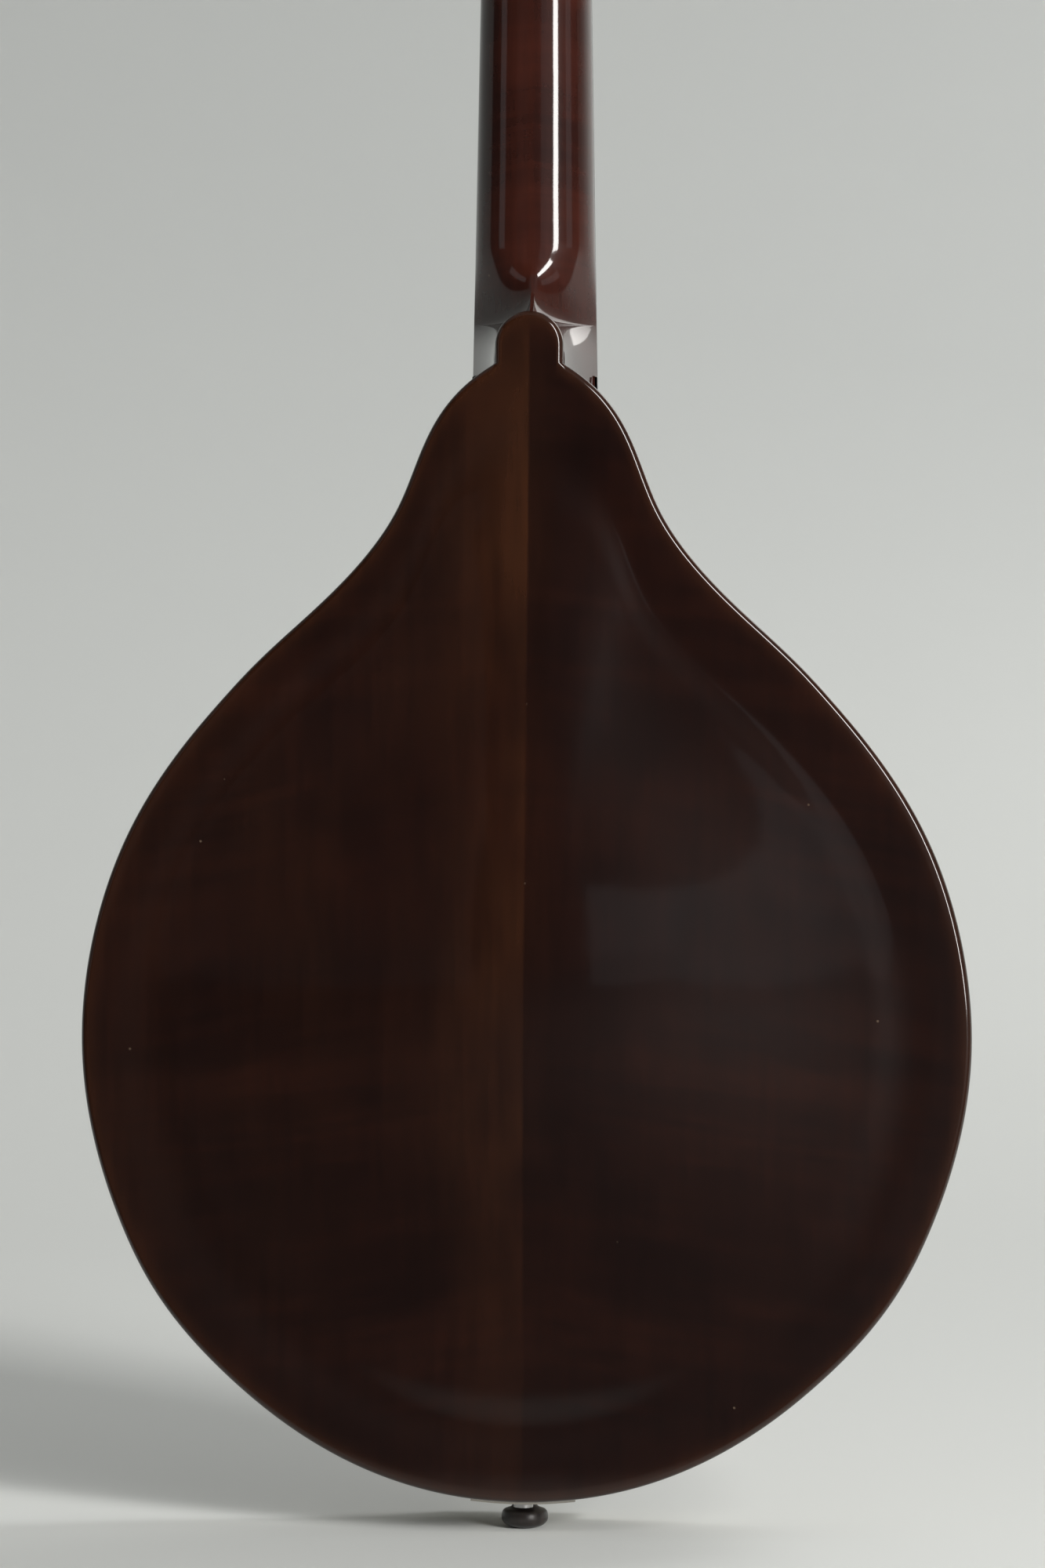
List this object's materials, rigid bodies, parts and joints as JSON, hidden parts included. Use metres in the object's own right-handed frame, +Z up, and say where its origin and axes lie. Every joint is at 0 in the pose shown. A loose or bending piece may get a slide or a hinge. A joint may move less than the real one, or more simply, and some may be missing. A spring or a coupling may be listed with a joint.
{
  "type": "mandolin",
  "caption": "Carved-back mandolin with a teardrop body, glossy dark stained wood, geared tuners with a knob for each string, a movable bridge, a slide-on tailpiece cover and an end pin.",
  "frame": {"origin": "tip of the end pin, where the instrument stands on the floor, on the body's centre line and half way through the rim's depth", "axes": "+Z up the instrument from the end pin to the peghead, -Y out of the carved top and the strings, +Y out of the carved back, +X to the treble side"},
  "size_m": [0.2542, 0.1029, 0.653],
  "materials": {
    "stained_maple": "very dark red-brown stain under high-gloss lacquer",
    "stained_spruce": "dark red-brown stain under high-gloss lacquer",
    "bare_wood": "bare wood, sanded",
    "ivory_plastic": "cream plastic, polished",
    "rosette_wood": "light and dark wood strips under lacquer",
    "ebony": "black wood, oiled",
    "bone": "polished bone",
    "fret_metal": "nickel silver, polished",
    "steel": "steel",
    "bronze_wound": "bronze winding on steel",
    "nickel_plate": "nickel plate"
  },
  "bodies": {
    "instrument": {"back_bass_half": "stained_maple", "back_linings": "bare_wood", "back_treble_half": "stained_maple", "bridge_base": "ebony", "bridge_studs": "steel", "end_pin": "ebony", "fingerboard": "ebony", "fingerboard_riser": "stained_maple", "frets": "fret_metal", "head_veneer": "ebony", "neck": "stained_maple", "neck_block": "bare_wood", "nut": "bone", "position_dots": "ivory_plastic", "post_bushings": "nickel_plate", "rib_bass": "stained_maple", "rib_treble": "stained_maple", "soundhole_rosette": "rosette_wood", "strings_a": "steel", "strings_d": "bronze_wound", "strings_e": "steel", "strings_g": "bronze_wound", "tail_block": "bare_wood", "tailpiece_frame": "nickel_plate", "tailpiece_screws": "steel", "top_bass_half": "stained_spruce", "top_binding": "ivory_plastic", "top_brace": "bare_wood", "top_linings": "bare_wood", "top_treble_half": "stained_spruce", "truss_cover": "ebony", "truss_cover_screws": "steel", "truss_rod": "steel", "tuner_plate_bass": "nickel_plate", "tuner_plate_screws": "steel", "tuner_plate_treble": "nickel_plate"},
    "knob_g1": {"knob_g1": "ivory_plastic"},
    "post_g1": {"post_g1": "nickel_plate"},
    "knob_g2": {"knob_g2": "ivory_plastic"},
    "post_g2": {"post_g2": "nickel_plate"},
    "knob_d1": {"knob_d1": "ivory_plastic"},
    "post_d1": {"post_d1": "nickel_plate"},
    "knob_d2": {"knob_d2": "ivory_plastic"},
    "post_d2": {"post_d2": "nickel_plate"},
    "knob_a1": {"knob_a1": "ivory_plastic"},
    "post_a1": {"post_a1": "nickel_plate"},
    "knob_a2": {"knob_a2": "ivory_plastic"},
    "post_a2": {"post_a2": "nickel_plate"},
    "knob_e1": {"knob_e1": "ivory_plastic"},
    "post_e1": {"post_e1": "nickel_plate"},
    "knob_e2": {"knob_e2": "ivory_plastic"},
    "post_e2": {"post_e2": "nickel_plate"},
    "saddle": {"bridge_saddle": "ebony"},
    "thumbwheel_bass": {"thumbwheel_bass": "nickel_plate"},
    "thumbwheel_treble": {"thumbwheel_treble": "nickel_plate"},
    "truss_nut": {"truss_nut": "steel"},
    "tail_cover": {"tailpiece_cover": "nickel_plate"}
  },
  "joints": [
    {"name": "knob_g1_turn", "type": "hinge", "parent": "instrument", "child": "knob_g1", "pos_m": [0, 0.01559, 0.53243], "axis": [1, 0, 0], "continuous": true},
    {"name": "post_g1_turn", "type": "hinge", "parent": "instrument", "child": "post_g1", "pos_m": [-0.0185, 0.00222, 0.54538], "axis": [0, -0.9397, 0.342], "continuous": true},
    {"name": "knob_g2_turn", "type": "hinge", "parent": "instrument", "child": "knob_g2", "pos_m": [0, 0.0236, 0.55441], "axis": [1, 0, 0], "continuous": true},
    {"name": "post_g2_turn", "type": "hinge", "parent": "instrument", "child": "post_g2", "pos_m": [-0.0185, 0.01022, 0.56737], "axis": [0, -0.9397, 0.342], "continuous": true},
    {"name": "knob_d1_turn", "type": "hinge", "parent": "instrument", "child": "knob_d1", "pos_m": [0, 0.0316, 0.5764], "axis": [1, 0, 0], "continuous": true},
    {"name": "post_d1_turn", "type": "hinge", "parent": "instrument", "child": "post_d1", "pos_m": [-0.0185, 0.01823, 0.58936], "axis": [0, -0.9397, 0.342], "continuous": true},
    {"name": "knob_d2_turn", "type": "hinge", "parent": "instrument", "child": "knob_d2", "pos_m": [0, 0.03961, 0.59839], "axis": [1, 0, 0], "continuous": true},
    {"name": "post_d2_turn", "type": "hinge", "parent": "instrument", "child": "post_d2", "pos_m": [-0.0185, 0.02623, 0.61135], "axis": [0, -0.9397, 0.342], "continuous": true},
    {"name": "knob_a1_turn", "type": "hinge", "parent": "instrument", "child": "knob_a1", "pos_m": [0, 0.0316, 0.5764], "axis": [1, 0, 0], "continuous": true},
    {"name": "post_a1_turn", "type": "hinge", "parent": "instrument", "child": "post_a1", "pos_m": [0.0185, 0.01823, 0.58936], "axis": [0, -0.9397, 0.342], "continuous": true},
    {"name": "knob_a2_turn", "type": "hinge", "parent": "instrument", "child": "knob_a2", "pos_m": [0, 0.03961, 0.59839], "axis": [1, 0, 0], "continuous": true},
    {"name": "post_a2_turn", "type": "hinge", "parent": "instrument", "child": "post_a2", "pos_m": [0.0185, 0.02623, 0.61135], "axis": [0, -0.9397, 0.342], "continuous": true},
    {"name": "knob_e1_turn", "type": "hinge", "parent": "instrument", "child": "knob_e1", "pos_m": [0, 0.01559, 0.53243], "axis": [1, 0, 0], "continuous": true},
    {"name": "post_e1_turn", "type": "hinge", "parent": "instrument", "child": "post_e1", "pos_m": [0.0185, 0.00222, 0.54538], "axis": [0, -0.9397, 0.342], "continuous": true},
    {"name": "knob_e2_turn", "type": "hinge", "parent": "instrument", "child": "knob_e2", "pos_m": [0, 0.0236, 0.55441], "axis": [1, 0, 0], "continuous": true},
    {"name": "post_e2_turn", "type": "hinge", "parent": "instrument", "child": "post_e2", "pos_m": [0.0185, 0.01022, 0.56737], "axis": [0, -0.9397, 0.342], "continuous": true},
    {"name": "saddle_lift", "type": "slide", "parent": "instrument", "child": "saddle", "axis": [0, -1, 0], "range_m": [-0.0012, 0.002], "deforming": ["strings_g", "strings_d", "strings_a", "strings_e"]},
    {"name": "thumbwheel_bass_turn", "type": "hinge", "parent": "saddle", "child": "thumbwheel_bass", "pos_m": [-0.028, -0.0421, 0.15998], "axis": [0, -1, 0], "range_deg": [-600, 960]},
    {"name": "thumbwheel_treble_turn", "type": "hinge", "parent": "saddle", "child": "thumbwheel_treble", "pos_m": [0.028, -0.0421, 0.15998], "axis": [0, -1, 0], "range_deg": [-600, 960]},
    {"name": "truss_nut_turn", "type": "hinge", "parent": "instrument", "child": "truss_nut", "pos_m": [0, -0.00075, 0.52616], "axis": [0, 0.0872, 0.9962], "range_deg": [-360, 360]},
    {"name": "tail_cover_slide", "type": "slide", "parent": "instrument", "child": "tail_cover", "axis": [0, 0.1045, -0.9945], "range_m": [0, 0.055]}
  ],
  "couplings": [
    {"joint": "post_g1_turn", "follows": "knob_g1_turn", "ratio": 0.071429},
    {"joint": "post_g2_turn", "follows": "knob_g2_turn", "ratio": 0.071429},
    {"joint": "post_d1_turn", "follows": "knob_d1_turn", "ratio": 0.071429},
    {"joint": "post_d2_turn", "follows": "knob_d2_turn", "ratio": 0.071429},
    {"joint": "post_a1_turn", "follows": "knob_a1_turn", "ratio": 0.071429},
    {"joint": "post_a2_turn", "follows": "knob_a2_turn", "ratio": 0.071429},
    {"joint": "post_e1_turn", "follows": "knob_e1_turn", "ratio": 0.071429},
    {"joint": "post_e2_turn", "follows": "knob_e2_turn", "ratio": 0.071429},
    {"joint": "thumbwheel_bass_turn", "follows": "saddle_lift", "rad_per_m": 7913.3},
    {"joint": "thumbwheel_treble_turn", "follows": "saddle_lift", "rad_per_m": 7913.3}
  ]
}
